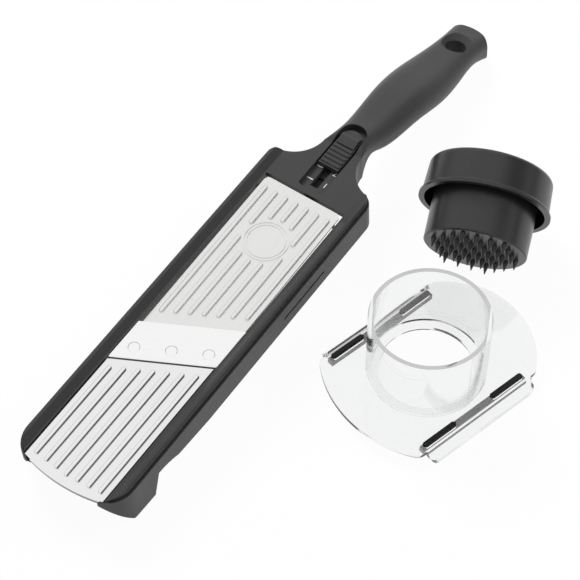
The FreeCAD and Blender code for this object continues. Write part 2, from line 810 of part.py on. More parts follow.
foot_clear = [
    ("foot_inner - past", foot_front(NOSE_CLEAR, "foot_inner - past"), "left", NOSE_CLEAR),
    (WEB_OUTER + " + play", foot_front(NOSE_CLEAR, WEB_OUTER + " + play")),
    (WEB_OUTER + " + play", "notch_far"),
    ("foot_inner - past", "notch_far"),
]
remove(skirt, "foot_tops", "plan", "-web_depth", "flange_under + past", [foot_clear, mirrored(foot_clear)])
deck_clear = [
    (RAIL_OUTER + " + play", "deck_near - 2 * play"),
    (RAIL_OUTER + " + play", "corner_far", "left", "shoulder_round + play"),
    (SHOULDER_SIDE + " + play * cos(shoulder_turn)", SHOULDER + " + play * sin(shoulder_turn)"),
]
remove(skirt, "deck_seat", "plan", DECK_LOW, "flange_under + past", [both_sides(deck_clear)])
neck_clear = [
    ("wall_outer", SHOULDER),
    ("wall_outer", NECK_FAR + " + past"),
]
remove(skirt, "neck_seat", "plan", PARTING, "flange_under + past", [both_sides(neck_clear)])
SLIT_LOW = "-slit_depth - slit_height / 2"
SLIT_HIGH = "-slit_depth + slit_height / 2"
remove(skirt, "side_slits", "side", "-beyond", "beyond",
       [rectangle("slit_near", SLIT_LOW, "slit_near + slit_length", SLIT_HIGH)])
lower_blank = join("Part::MultiFuse", "lower_blank", [skirt, grip_lower])
bed_clear = tool_box("bed_clear", "plan", BED_LOW, "5",
                     [rectangle("-bed_half - skim", "deck_near", "bed_half + skim", SHOULDER + " + past")])
foot_floor = doc.addObject("Part::Box", "foot_floor")
foot_floor.setExpression("Length", bound("2 * beyond"))
foot_floor.setExpression("Width", bound("2 * beyond"))
foot_floor.setExpression("Height", bound("beyond"))
foot_corner = Vector(-value("beyond"), -value("beyond"), value("sole_gap - beyond"))
foot_floor.Placement = on_table.multiply(Placement(foot_corner, Rotation()))
sole_tools = []
pads = []
for name, side in (("right_pad", 1), ("left_pad", -1)):
    mid = side * value("(foot_inner + wall_outer) / 2")
    clear = doc.addObject("Part::Box", name + "_seat")
    clear.setExpression("Length", bound("pad_width + 2 * fit"))
    clear.setExpression("Width", bound("pad_length + 2 * fit"))
    clear.setExpression("Height", bound("pad_thick + beyond"))
    corner = Vector(mid - value("pad_width / 2 + fit"), value("pad_centre - pad_length / 2 - fit"), 0)
    corner.z = -value("beyond")
    clear.Placement = on_table.multiply(Placement(corner, Rotation()))
    sole_tools.append(clear)
    pad = doc.addObject("Part::Box", name)
    pad.setExpression("Length", bound("pad_width"))
    pad.setExpression("Width", bound("pad_length"))
    pad.setExpression("Height", bound("pad_thick"))
    corner = Vector(mid - value("pad_width / 2"), value("pad_centre - pad_length / 2"), 0)
    pad.Placement = on_table.multiply(Placement(corner, Rotation()))
    pads.append(pad)
lower_tools = join("Part::MultiFuse", "lower_tools", [channel, bed_clear, foot_floor] + sole_tools + bores)
lower_frame = join("Part::Cut", "lower_frame", [lower_blank, lower_tools])
foot_pads = join("Part::Compound", "foot_pads", pads)

# Steel plates with pressed beads


def bead(across, near, far):
    """A long bead with round ends."""
    left = "%s - bead_half" % across
    right = "%s + bead_half" % across
    r = "bead_half * 1.02"
    return [(right, near + " + bead_half"), (right, far + " - bead_half", "left", r),
            (left, far + " - bead_half"), (left, near + " + bead_half", "left", r)]


exit_plate = new_body("exit_plate")
add(exit_plate, "exit_sheet", "plan", "-gauge", "0", [[
    ("-exit_half", "-exit_corner", "left", BOW_RADIUS),
    ("exit_half", "-exit_corner"),
    ("exit_half", diagonal("exit_far", "exit_half")),
    ("-exit_half", diagonal("exit_far", "-exit_half")),
]])
add(exit_plate, "exit_fold", "plan", "-gauge - exit_lip", "-gauge + skim", [[
    ("-exit_half", "-exit_corner", "left", BOW_RADIUS),
    ("exit_half", "-exit_corner"),
    ("exit_half", "gauge - exit_corner", "right", BOW_RADIUS),
    ("-exit_half", "gauge - exit_corner"),
]])
exit_beads = []
for k in range(-3, 4):
    across = "%d * bead_pitch" % k
    near = "%d * exit_bow / 6" % (abs(k) - 2)
    exit_beads.append(bead(across, near, diagonal("exit_bead_far", across)))
add(exit_plate, "exit_beads", "plan", "-gauge / 2", "bead_height", exit_beads)
soften(exit_plate, "exit_bead_edges", "bead_edge", level_edge(value("bead_height")))

ramp_plate = new_body("ramp_plate")
add(ramp_plate, "ramp_sheet", "plan", "-gauge", "0", [[
    ("-ramp_half", diagonal("ramp_near", "-ramp_half")),
    ("ramp_half", diagonal("ramp_near", "ramp_half")),
    ("ramp_half", "ramp_far - ramp_corner", "left", "ramp_corner"),
    ("ramp_half - ramp_corner", "ramp_far"),
    ("ramp_corner - ramp_half", "ramp_far", "left", "ramp_corner"),
    ("-ramp_half", "ramp_far - ramp_corner"),
]])
ramp_beads = []
reach = value("ring_radius + ring_clear")
for k in range(-3, 4):
    across = "%d * bead_pitch" % k
    near = diagonal("ramp_bead_near", across)
    if abs(value(across)) < reach:
        half_chord = "sqrt((ring_radius + ring_clear)^2 - (%s)^2)" % across
        ramp_beads.append(bead(across, near, "ring_far - " + half_chord))
        ramp_beads.append(bead(across, "ring_far + " + half_chord, "ramp_bead_far"))
    else:
        ramp_beads.append(bead(across, near, "ramp_bead_far"))
add(ramp_plate, "ramp_beads", "plan", "-gauge / 2", "bead_height", ramp_beads)
soften(ramp_plate, "ramp_bead_edges", "bead_edge", level_edge(value("bead_height")))
add(ramp_plate, "ring", "plan", "-gauge / 2", "ring_height", [], [
    ("0", "ring_far", "ring_radius"),
    ("0", "ring_far", "ring_radius - ring_width"),
    ("0", "ring_far", "ring_radius - ring_width - ring_gap"),
    ("0", "ring_far", "ring_radius - 2 * ring_width - ring_gap"),
])

# Blade, its rivets and the carrier under it. The blade is drawn square across and then swung round.
slant = Placement(Vector(0, value("blade_near"), 0), Rotation(Vector(0, 0, 1), value("slant")))
BLADE_WIDE = "(blade_far - blade_near) * cos(slant)"
BLADE_HALF = "blade_half / cos(slant) + blade_far * tan(slant) * 0.2"
blade = new_body("blade")
add(blade, "blade_strip", "side", minus(BLADE_HALF), BLADE_HALF, [[
    ("0", "-blade_thick"),
    (BLADE_WIDE + " - bevel_run", "-blade_thick"),
    (BLADE_WIDE, "-edge_thick"),
    (BLADE_WIDE, "0"),
    ("0", "0"),
]])
trims = []
for side in (1, -1):
    root = "%d * blade_half / cos(slant)" % side
    edge = "%s + (%s + 2) * tan(slant)" % (root, BLADE_WIDE)
    back = "%s - 2 * tan(slant)" % root
    wide = "%d * (blade_half + beyond)" % side
    trim = [(back, "-2"), (wide, "-2"), (wide, BLADE_WIDE + " + 2"), (edge, BLADE_WIDE + " + 2")]
    trims.append(trim if side > 0 else list(reversed(trim)))
remove(blade, "blade_ends", "plan", "-blade_thick - past", "1", trims)
rivet_along = "(rivet_far - blade_near) * cos(slant)"
rivet_spots = []
for k in (-1, 0, 1):
    across = "(%d) * rivet_pitch / cos(slant) + (rivet_far - blade_near) * sin(slant)" % k
    rivet_spots.append((across, rivet_along))
remove(blade, "rivet_holes", "plan", "-blade_thick - past", "1", [],
       [(across, along, "rivet_radius + fit") for across, along in rivet_spots])
blade_rivets = new_body("blade_rivets")
add(blade_rivets, "rivet_heads", "plan", "-blade_thick", "0", [],
    [(across, along, "rivet_radius") for across, along in rivet_spots])
soften(blade_rivets, "rivet_edges", "rivet_edge", level_edge(0))
add(blade_rivets, "rivet_stems", "plan", "-blade_thick - rivet_length", "-blade_thick / 2", [],
    [(across, along, "rivet_stem") for across, along in rivet_spots])
blade_carrier = new_body("blade_carrier")
add(blade_carrier, "carrier_bar", "plan", "-carrier_depth", "-blade_thick", [[
    ("-carrier_half", diagonal("carrier_near", "-carrier_half")),
    ("carrier_half", diagonal("carrier_near", "carrier_half")),
    ("carrier_half", diagonal("carrier_far", "carrier_half")),
    ("-carrier_half", diagonal("carrier_far", "-carrier_half")),
]])
sockets = [("(%d) * rivet_pitch" % k, diagonal("rivet_far", "(%d) * rivet_pitch" % k), "rivet_stem + fit")
           for k in (-1, 0, 1)]
remove(blade_carrier, "rivet_sockets", "plan", "-blade_thick - rivet_length - skim", "0", [], sockets)
remove(blade_carrier, "screw_sockets", "plan", "-carrier_depth - past", "-carrier_depth + 3.5", [],
       [(across, along, "screw_shank + fit") for across, along in screw_spots])
carrier_screws = new_body("carrier_screws")
LUG_LOW = "-carrier_depth - ledge_thick"
add(carrier_screws, "carrier_heads", "plan", LUG_LOW + " - head_height", LUG_LOW, [],
    [(across, along, "screw_head") for across, along in screw_spots])
add(carrier_screws, "carrier_shanks", "plan", LUG_LOW + " - sink", "-carrier_depth + 3", [],
    [(across, along, "screw_shank") for across, along in screw_spots])
remove(carrier_screws, "carrier_drives", "plan", LUG_LOW + " - head_height - past",
       LUG_LOW + " - head_height + drive_depth",
       [rectangle(across + " - drive_reach", along + " - drive_half",
                  across + " + drive_reach", along + " + drive_half") for across, along in screw_spots])

# Ramp tray and hinge
ramp_tray = new_body("ramp_tray")
TRAY_LOW = "-gauge - tray_thick"
add(ramp_tray, "tray_web", "plan", TRAY_LOW, "-gauge", [[
    ("-tray_half", diagonal("ramp_near + tray_inset", "-tray_half")),
    ("tray_half", diagonal("ramp_near + tray_inset", "tray_half")),
    ("tray_half", "hinge_far + barrel_radius"),
    ("-tray_half", "hinge_far + barrel_radius"),
]])
rib_near = diagonal("ramp_near + tray_inset + 8", "tray_half")
side_rib = rectangle("tray_half - 2", rib_near, "tray_half", "hinge_far - barrel_radius - 3")
add(ramp_tray, "tray_ribs", "plan", TRAY_LOW + " - tray_rib", TRAY_LOW + " + sink",
    [side_rib, mirrored(side_rib)])
add(ramp_tray, "barrel", "side", "-barrel_half", "barrel_half", [],
    [("hinge_far", "-hinge_depth", "barrel_radius")])
add(ramp_tray, "barrel_web", "plan", "-hinge_depth", TRAY_LOW + " + sink",
    [rectangle("-barrel_half", "hinge_far - barrel_radius", "barrel_half", "hinge_far + barrel_radius")])
add(ramp_tray, "nub", "side", "-bar_half - past", "bar_half + past", [[
    ("nub_far - nub_half", TRAY_LOW + " + sink"),
    ("nub_far - nub_half", "nub_half - nub_depth", "left", "nub_half"),
    ("nub_far", "-nub_depth", "left", "nub_half"),
    ("nub_far + nub_half", "nub_half - nub_depth"),
    ("nub_far + nub_half", TRAY_LOW + " + sink"),
]])
remove(ramp_tray, "barrel_bore", "side", "-beyond", "beyond", [],
       [("hinge_far", "-hinge_depth", "pin_radius + fit * 1.6")])
ramp_hinge_pin = new_body("ramp_hinge_pin")
add(ramp_hinge_pin, "pin", "side", "-pin_half", "pin_half", [],
    [("hinge_far", "-hinge_depth", "pin_radius")])

# The ramp hangs from its hinge at the chosen setting
ARM = "hinge_far - ramp_near"
set_angle = math.degrees(math.atan(value("setting") / value(ARM)))
hinge = Vector(0, value("hinge_far"), -value("hinge_depth"))
hang = Placement(Vector(0, 0, 0), Rotation(Vector(1, 0, 0), set_angle), hinge)

# Thumb slider and the sled below it
thumb_slider = new_body("thumb_slider")
THUMB_FAR = "thumb_near + thumb_length"
THUMB_LOW = "play - recess_depth"
add(thumb_slider, "thumb_base", "plan", THUMB_LOW, "thumb_top", [[
    ("-thumb_half", "thumb_near"),
    ("thumb_half", "thumb_near"),
    ("thumb_half", THUMB_FAR + " - thumb_half", "left", "thumb_half"),
    ("0", THUMB_FAR, "left", "thumb_half"),
    ("-thumb_half", THUMB_FAR + " - thumb_half"),
]])
PAD_NEAR = "thumb_near + rib_pitch * (thumb_ribs + 0.4)"
PAD_RISE = "thumb_top + thumb_rise"
add(thumb_slider, "thumb_pad", "side", "-thumb_half * 0.86", "thumb_half * 0.86", [[
    (PAD_NEAR, "thumb_top - sink"),
    (THUMB_FAR + " - thumb_half * 0.5", "thumb_top - sink"),
    (THUMB_FAR + " - thumb_half * 0.5", "thumb_top", "left", "thumb_rise * 2.4"),
    (THUMB_FAR + " - thumb_half * 1.1", PAD_RISE),
    (PAD_NEAR, "thumb_top + rib_height"),
]])
ribs = []
for k in range(int(round(value("thumb_ribs")))):
    mid = "thumb_near + rib_pitch * %s" % (k + 0.7)
    r = "(rib_half * rib_half + rib_height * rib_height) / (2 * rib_height) * 1.001"
    ribs.append([
        (mid + " - rib_half", "thumb_top - 0.4"),
        (mid + " + rib_half", "thumb_top - 0.4"),
        (mid + " + rib_half", "thumb_top", "left", r),
        (mid + " - rib_half", "thumb_top"),
    ])
add(thumb_slider, "thumb_ribs", "side", "-thumb_half * 0.92", "thumb_half * 0.92", ribs)
add(thumb_slider, "stem", "plan", SLED_TOP, THUMB_LOW + " + sink",
    [rectangle("-stem_half", "stem_near", "stem_half", "stem_near + stem_length")])
remove(thumb_slider, "thumb_screw_hole", "plan", SLED_TOP + " - past", THUMB_LOW + " + 1.2", [],
       [("0", "thumb_screw", "screw_shank - 0.3 + fit")])
slider_sled = new_body("slider_sled")
BAR_TOP = SLED_LOW + " + bar_thick"
add(slider_sled, "sled_block", "plan", SLED_LOW, SLED_TOP,
    [rectangle("-sled_half", "sled_near", "sled_half", "sled_near + sled_length")])
add(slider_sled, "sled_bar", "plan", SLED_LOW, BAR_TOP,
    [rectangle("-bar_half", "bar_near", "bar_half", "sled_near + past")])
nub_rest = hang.multVec(Vector(0, value("nub_far"), -value("nub_depth")))
WEDGE_SLOPE = "(hinge_far - nub_far) / (%s) / mark_pitch" % ARM
wedge_base = "%.4f - play" % nub_rest.z
WEDGE_FAR = "wedge_near + wedge_length"
add(slider_sled, "wedge", "side", "-bar_half", "bar_half", [[
    ("wedge_near", BAR_TOP + " - sink"),
    (WEDGE_FAR, BAR_TOP + " - sink"),
    (WEDGE_FAR, "%s + (%s - nub_far) * %s" % (wedge_base, WEDGE_FAR, WEDGE_SLOPE)),
    ("wedge_near", "%s + (wedge_near - nub_far) * %s" % (wedge_base, WEDGE_SLOPE)),
]])
remove(slider_sled, "sled_screw_hole", "plan", SLED_LOW + " - past", SLED_TOP + " + past", [],
       [("0", "thumb_screw", "screw_shank - 0.3 + fit")])
remove(slider_sled, "sled_screw_sink", "plan", SLED_LOW + " - past", SLED_LOW + " + head_height + skim", [],
       [("0", "thumb_screw", "screw_head - 0.4")])
slider_screw = new_body("slider_screw")
add(slider_screw, "slider_screw_head", "plan", SLED_LOW + " + skim", SLED_LOW + " + head_height + skim", [],
    [("0", "thumb_screw", "screw_head - 0.6")])
add(slider_screw, "slider_screw_shank", "plan", SLED_LOW + " + head_height", THUMB_LOW + " + past", [],
    [("0", "thumb_screw", "screw_shank - 0.3")])
remove(slider_screw, "slider_screw_drive", "plan", SLED_LOW + " - past", SLED_LOW + " + skim + drive_depth",
       [rectangle("-drive_reach", "thumb_screw - drive_half", "drive_reach", "thumb_screw + drive_half")])
detent_spring = new_body("detent_spring")
SPRING_MID = "spring_near + spring_length / 2"
SPRING_LOW = CHANNEL_LOW + " + 0.6"
add(detent_spring, "leaf", "plan", SPRING_LOW, SPRING_LOW + " + spring_height", [[
    ("spring_wall", "spring_near"),
    ("spring_wall", SPRING_MID + " - spring_length / 4"),
    ("spring_wall - spring_bump + spring_thick", SPRING_MID),
    ("spring_wall", SPRING_MID + " + spring_length / 4"),
    ("spring_wall", "spring_near + spring_length"),
    ("spring_wall - spring_thick", "spring_near + spring_length"),
    ("spring_wall - spring_thick", SPRING_MID + " + spring_length / 4"),
    ("spring_wall - spring_bump", SPRING_MID),
    ("spring_wall - spring_thick", SPRING_MID + " - spring_length / 4"),
    ("spring_wall - spring_thick", "spring_near"),
]])

# Carriage: clear base with the feed collar and sloped flanges, and two runners
carriage_plate = new_body("carriage_plate")
BASE_LOW = "base_top - base_thick"
near_radius = "(base_half * base_half + near_bow * near_bow) / (2 * near_bow)"
far_radius = "(base_half * base_half + far_bow * far_bow) / (2 * far_bow)"
add(carriage_plate, "base", "plan", BASE_LOW, "base_top", [[
    ("-base_half", "-base_near", "left", near_radius),
    ("base_half", "-base_near"),
    ("base_half", "base_far", "left", far_radius),
    ("-base_half", "base_far"),
]], [("0", "0", "throat_radius")])


def base_upright(edge):
    """Pick the four upright corners of the base."""
    spots = [spot.Point for spot in edge.Vertexes]
    tall = len(spots) == 2 and abs(spots[0].z - spots[1].z) > value("base_thick") / 2
    return tall and abs(spots[0].x) > value("base_half") / 2


soften(carriage_plate, "base_corners", "base_corner", base_upright)
right_skirt = [
    ("base_half - 2", BASE_LOW),
    ("base_half - skirt_thick * 0.5", BASE_LOW),
    ("base_half + skirt_out - skirt_thick", "0"),
    ("base_half + skirt_out", "0"),
    ("base_half + 0.6", "base_top"),
    ("base_half - 2", "base_top"),
]
add(carriage_plate, "skirts", "front", "-skirt_near", "skirt_far", [right_skirt, mirrored(right_skirt)])
remove(carriage_plate, "skirt_ends", "side", "-beyond", "beyond", [
    [
        ("-skirt_near - past", "-past"),
        ("skirt_round - skirt_near", "-past"),
        ("skirt_round - skirt_near", "0", "right", "skirt_round"),
        ("-skirt_near", "skirt_round"),
        ("-skirt_near - past", "skirt_round"),
    ],
    [
        ("skirt_far - skirt_round", "-past"),
        ("skirt_far + past", "-past"),
        ("skirt_far + past", "skirt_round"),
        ("skirt_far", "skirt_round", "right", "skirt_round"),
        ("skirt_far - skirt_round", "0"),
    ],
])
add(carriage_plate, "collar", "plan", BASE_LOW, "base_top + collar_height", [],
    [("0", "0", "collar_radius"), ("0", "0", "collar_radius - collar_wall")])


def runner_bars(sign, width, reach):
    """Outlines of the two bars of one runner."""
    outlines = []
    half = "(%s) / 2" % width
    mid = "%d * runner_centre" % sign
    bar_length = "(runner_length - bar_gap) / 2 - bar_inset"
    near = "-runner_near + bar_inset"
    far = "-runner_near + runner_length - bar_inset"
    for low, high in ((near, near + " + " + bar_length), (far + " - (%s)" % bar_length, far)):
        low = "%s - %s" % (low, reach)
        high = "%s + %s" % (high, reach)
        left = "%s - %s" % (mid, half)
        right = "%s + %s" % (mid, half)
        outlines.append([
            (right, "%s + %s" % (low, half)),
            (right, "%s - %s" % (high, half), "left", "%s * 1.02" % half),
            (left, "%s - %s" % (high, half)),
            (left, "%s + %s" % (low, half), "left", "%s * 1.02" % half),
        ])
    return outlines


remove(carriage_plate, "bar_slots", "plan", BASE_LOW + " - past", "base_top + past",
       runner_bars(1, "bar_width + sink", "0.25") + runner_bars(-1, "bar_width + sink", "0.25"))
runners = {}
for name, sign in (("left_runner", -1), ("right_runner", 1)):
    runner = new_body(name)
    edge = ["%d * runner_centre - runner_half" % sign, "%d * runner_centre + runner_half" % sign]
    add(runner, name + "_strip", "plan", BASE_LOW + " - runner_depth", BASE_LOW,
        [rectangle(edge[0], "-runner_near", edge[1], "runner_length - runner_near")])
    add(runner, name + "_bars", "plan", BASE_LOW + " - sink", "base_top + bar_rise",
        runner_bars(sign, "bar_width", "0"))
    soften(runner, name + "_edges", "bar_width / 4", level_edge(value("base_top + bar_rise")))
    runners[name] = runner

# Pusher: cap, plunger and the spikes on its face
pusher_cap = new_body("pusher_cap")
INSIDE = "cap_height - cap_top"
turn(pusher_cap, "cap_form", [
    ("cap_radius - cap_wall", "0"),
    ("flange_radius", "0"),
    ("flange_radius", "flange_thick", "right", "flange_sweep"),
    ("cap_radius", "flange_thick + flange_sweep"),
    ("cap_radius - cap_draft", "cap_height - cap_round", "left", "cap_round"),
    ("cap_radius - cap_draft - cap_round", "cap_height"),
    ("0", "cap_height + cap_crown"),
    ("0", INSIDE),
    ("cap_radius - cap_draft - cap_wall", INSIDE),
])
pusher_plunger = new_body("pusher_plunger")
turn(pusher_plunger, "plunger_form", [
    ("0", "-plunger_drop"),
    ("plunger_radius - plunger_bevel", "-plunger_drop"),
    ("plunger_radius", "plunger_bevel - plunger_drop"),
    ("plunger_radius + plunger_draft", INSIDE),
    ("plunger_radius + plunger_draft - plunger_wall", INSIDE),
    ("plunger_radius - plunger_wall", "plunger_wall - plunger_drop"),
    ("0", "plunger_wall - plunger_drop"),
])
spikes = []
spike_limit = value("plunger_radius - spike_radius * 2.2")
for row in range(-4, 5):
    for column in range(-5, 6):
        step = "spike_pitch * %s" % (column + 0.5 * (row % 2))
        rise = "spike_pitch * cos(30) * %d" % row
        across = "%s * cos(spike_spin) - %s * sin(spike_spin)" % (step, rise)
        along = "%s * sin(spike_spin) + %s * cos(spike_spin)" % (step, rise)
        if math.hypot(value(across), value(along)) > spike_limit:
            continue
        spike = doc.addObject("Part::Cone", "spike_%d" % len(spikes))
        spike.setExpression("Radius1", bound("spike_radius"))
        spike.setExpression("Radius2", bound("spike_tip"))
        spike.setExpression("Height", bound("spike_length"))
        spike.Placement = Placement(Vector(0, 0, 0), Rotation(Vector(1, 0, 0), 180))
        spike.setExpression("Placement.Base.x", bound(across))
        spike.setExpression("Placement.Base.y", bound(along))
        spike.setExpression("Placement.Base.z", bound("-plunger_drop"))
        spikes.append(spike)
pusher_spikes = join("Part::Compound", "pusher_spikes", spikes)

# Where each sub-part goes
carriage_place = Placement(Vector(value("carriage_right"), value("carriage_far"), 0),
                           Rotation(Vector(0, 0, 1), -value("carriage_turn")))
lie = math.degrees(math.atan(value("(flange_radius - plunger_radius) / (plunger_drop - plunger_bevel)")))
lie_height = value("flange_radius") * math.cos(math.radians(lie))
heading = Rotation(Vector(0, 0, 1), value("pusher_turn"))
tip_over = Rotation(Vector(1, 0, 0), -90 + lie)
lie_at = Vector(value("pusher_right"), value("pusher_far"), lie_height)
pusher_place = Placement(lie_at, heading.multiply(tip_over))
on_slant = seat.multiply(slant)
on_hinge = seat.multiply(hang)

PLACES = [
    (upper_frame, seat), (lower_frame, seat), (foot_pads, seat), (housing_screws, seat),
    (exit_plate, seat), (blade, on_slant), (blade_rivets, on_slant),
    (blade_carrier, seat), (carrier_screws, seat),
    (ramp_plate, on_hinge), (ramp_tray, on_hinge), (ramp_hinge_pin, seat),
    (thumb_slider, seat), (slider_sled, seat), (slider_screw, seat), (detent_spring, seat),
    (carriage_plate, carriage_place), (runners["left_runner"], carriage_place),
    (runners["right_runner"], carriage_place),
    (pusher_cap, pusher_place), (pusher_plunger, pusher_place), (pusher_spikes, pusher_place),
]
doc.recompute()
whole = FreeCAD.BoundBox()
for piece, place in PLACES:
    piece.Placement = place
    whole.add(piece.Shape.optimalBoundingBox())
shift = Vector(-whole.Center.x, -whole.Center.y, -whole.ZMin)
for piece, place in PLACES:
    piece.Placement = Placement(shift, Rotation()).multiply(place)

# Every object must be sound before anything is written
for item in doc.Objects:
    if "Invalid" in item.State or "Error" in item.State:
        raise RuntimeError(item.Name + " did not build: " + ", ".join(item.State))
for piece, place in PLACES:
    if piece.Shape.isNull() or not piece.Shape.isValid():
        raise RuntimeError(piece.Name + " has no sound shape")
    piece.Label = piece.Name
    piece.Shape.exportStep("parts/%s.step" % piece.Name)
    box = piece.Shape.optimalBoundingBox()
    print("%-16s solids %2d  x %.1f to %.1f  y %.1f to %.1f  z %.1f to %.1f" % (
        piece.Name, len(piece.Shape.Solids), box.XMin, box.XMax, box.YMin, box.YMax, box.ZMin, box.ZMax))
print("shift %.3f %.3f %.3f" % (shift.x, shift.y, shift.z))
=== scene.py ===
# %% [markdown]
# A mandoline slicer lies on a white table with its clear hand carriage and its spiked pusher beside it.
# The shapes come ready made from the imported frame, so this lesson is about light, camera and finish:
# charcoal moulding, bright pressed steel, clear plastic, black runners and a small printed scale. Sizes
# are in metres, and MM turns the millimetres of the drawing into them.

# %% Load the frame
import bmesh
import bpy
import json
import math
from mathutils import Matrix, Vector


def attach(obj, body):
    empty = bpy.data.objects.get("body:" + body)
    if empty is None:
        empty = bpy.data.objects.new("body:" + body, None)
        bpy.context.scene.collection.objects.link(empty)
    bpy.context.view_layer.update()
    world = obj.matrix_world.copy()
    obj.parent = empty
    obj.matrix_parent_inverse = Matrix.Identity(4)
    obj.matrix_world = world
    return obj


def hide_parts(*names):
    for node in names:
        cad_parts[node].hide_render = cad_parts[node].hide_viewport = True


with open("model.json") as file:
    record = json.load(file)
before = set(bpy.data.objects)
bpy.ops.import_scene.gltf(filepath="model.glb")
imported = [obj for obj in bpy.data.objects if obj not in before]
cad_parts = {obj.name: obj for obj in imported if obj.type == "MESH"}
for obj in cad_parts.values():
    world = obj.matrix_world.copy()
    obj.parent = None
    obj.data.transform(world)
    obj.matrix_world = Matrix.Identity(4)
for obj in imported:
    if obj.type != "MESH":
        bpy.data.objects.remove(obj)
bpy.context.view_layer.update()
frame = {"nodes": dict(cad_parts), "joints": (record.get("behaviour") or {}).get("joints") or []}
nodes = frame["nodes"]
MM = 0.001
joints = {joint["name"]: joint for joint in frame["joints"]}
scene = bpy.context.scene
print("frame nodes:", len(nodes))

# %% [markdown]
# The slicer stands tipped on its feet. Two facts of the frame tell where it is: the thumb slider's
# joint gives the direction of its length, and the ramp's hinge gives one point on it. From these, a
# point can be named in the slicer's own directions: across it, along it from the feet, and up from its
# steel plates.

# %% Slicer directions
HINGE_ALONG = 215.0
HINGE_DEPTH = 4.6
along = Vector(joints["thickness_slide"]["axis"]).normalized()
across = Vector((1, 0, 0))
upward = across.cross(along)
hinge_place = Vector(joints["ramp_tilt"]["pos_m"])
slicer_turn = Matrix((across, along, upward)).transposed().to_4x4()


def on_slicer(right, far, high):
    """A point given in millimetres in the slicer's own directions."""
    step = across * right + along * (far - HINGE_ALONG) + upward * (high + HINGE_DEPTH)
    return hinge_place + step * MM


start = on_slicer(0, 0, 0)
print("slicer tips by %.2f degrees" % math.degrees(math.asin(along.z)))

# %% [markdown]
# The photographer stood at the feet's end, a little to the right, and looked down steeply from more
# than a metre away. A long lens keeps the sides of the slicer nearly parallel. The camera is placed by
# an angle round the table, an angle above it and a distance from the point that it looks at. Light may
# bounce often, because it crosses many faces of the clear carriage.

# %% Camera
CAMERA_ROUND = 35.2
CAMERA_HEIGHT = 53.27
CAMERA_DISTANCE = 1.2783
CAMERA_LENS = 136.55
SENSOR_WIDTH = 36.0
CLIP_END = 20.0
AIM_RIGHT = 15.44
AIM_FAR = 185.16
PLASTIC_BOUNCES = 20
MIRROR_BOUNCES = 16
round_angle = math.radians(CAMERA_ROUND)
height_angle = math.radians(CAMERA_HEIGHT)
aim = Vector((start.x + AIM_RIGHT * MM, start.y + AIM_FAR * MM, 0))
sight = Vector((
    math.sin(round_angle) * math.cos(height_angle),
    -math.cos(round_angle) * math.cos(height_angle),
    math.sin(height_angle),
))
camera_data = bpy.data.cameras.new("camera")
camera_data.lens = CAMERA_LENS
camera_data.sensor_width = SENSOR_WIDTH
camera_data.clip_end = CLIP_END
camera = bpy.data.objects.new("camera", camera_data)
camera.location = aim + sight * CAMERA_DISTANCE
camera.rotation_euler = (-sight).to_track_quat("-Z", "Y").to_euler()
scene.collection.objects.link(camera)
scene.camera = camera
scene.view_settings.view_transform = "Standard"
scene.cycles.max_bounces = PLASTIC_BOUNCES
scene.cycles.glossy_bounces = MIRROR_BOUNCES
scene.cycles.transmission_bounces = PLASTIC_BOUNCES
print("camera at", [round(value, 3) for value in camera.location])

# %% [markdown]
# The floor, the sky and every finish are trees of shader nodes. A few helpers keep them short: one adds
# a node, one does arithmetic, one measures how far a vector reaches along an axis, and one fades
# between two values.

# %% Helpers for node trees
UP = (0, 0, 1)


def link(tree, source, target):
    """Join two sockets."""
    tree.links.new(source, target)


def node(tree, kind, **values):
    """Add a shader node and set its properties."""
    made = tree.nodes.new(kind)
    for name, value in values.items():
        setattr(made, name, value)
    return made


def math_node(tree, operation, *values, clamp=False):
    """Add a Math node whose inputs are sockets or numbers."""
    made = node(tree, "ShaderNodeMath", operation=operation, use_clamp=clamp)
    for socket, value in zip(made.inputs, values):
        if isinstance(value, (int, float)):
            socket.default_value = value
        else:
            link(tree, value, socket)
    return made.outputs[0]


def reach(tree, vector, axis):
    """How far a vector reaches along an axis."""
    made = node(tree, "ShaderNodeVectorMath", operation="DOT_PRODUCT")
    link(tree, vector, made.inputs[0])
    made.inputs[1].default_value = axis
    return made.outputs["Value"]


def fade(tree, measure, begin, end, low, high, curve="LINEAR"):
    """A value that goes from low to high as a measure goes from begin to end."""
    made = node(tree, "ShaderNodeMapRange", interpolation_type=curve)
    for label, value in zip(("From Min", "From Max", "To Min", "To Max"), (begin, end, low, high)):
        made.inputs[label].default_value = value
    link(tree, measure, made.inputs["Value"])
    return made.outputs["Result"]


print("helpers:", [item.__name__ for item in (link, node, math_node, reach, fade)])

# %% [markdown]
# A product table can look white without more light, if it knows who is looking. A light path tells a
# tree what kind of ray has arrived. One helper picks out the camera, mirrors and clear plastic, another
# picks out light that has passed through plastic, and the last one picks out light that was also thrown
# to and fro inside it.

# %% Kinds of light
ONE_PASS = 0.5
TWO_MIRRORS = 1.5


def seen_directly(tree):
    """One where the camera, a mirror or clear plastic looks, and nothing for soft light."""
    path = node(tree, "ShaderNodeLightPath")
    rays = math_node(tree, "MAXIMUM", path.outputs["Is Camera Ray"], path.outputs["Is Glossy Ray"])
    return math_node(tree, "MAXIMUM", rays, path.outputs["Is Transmission Ray"])


def seen_through(tree):
    """One for light that has passed through clear plastic."""
    path = node(tree, "ShaderNodeLightPath")
    return math_node(tree, "GREATER_THAN", path.outputs["Transmission Depth"], ONE_PASS)


def long_way(tree):
    """One for light that is thrown to and fro inside clear plastic before it comes out."""
    path = node(tree, "ShaderNodeLightPath")
    thrown = math_node(tree, "GREATER_THAN", path.outputs["Glossy Depth"], TWO_MIRRORS)
    return math_node(tree, "MULTIPLY", seen_through(tree), thrown)


print("kinds of light:", [item.__name__ for item in (seen_directly, seen_through, long_way)])

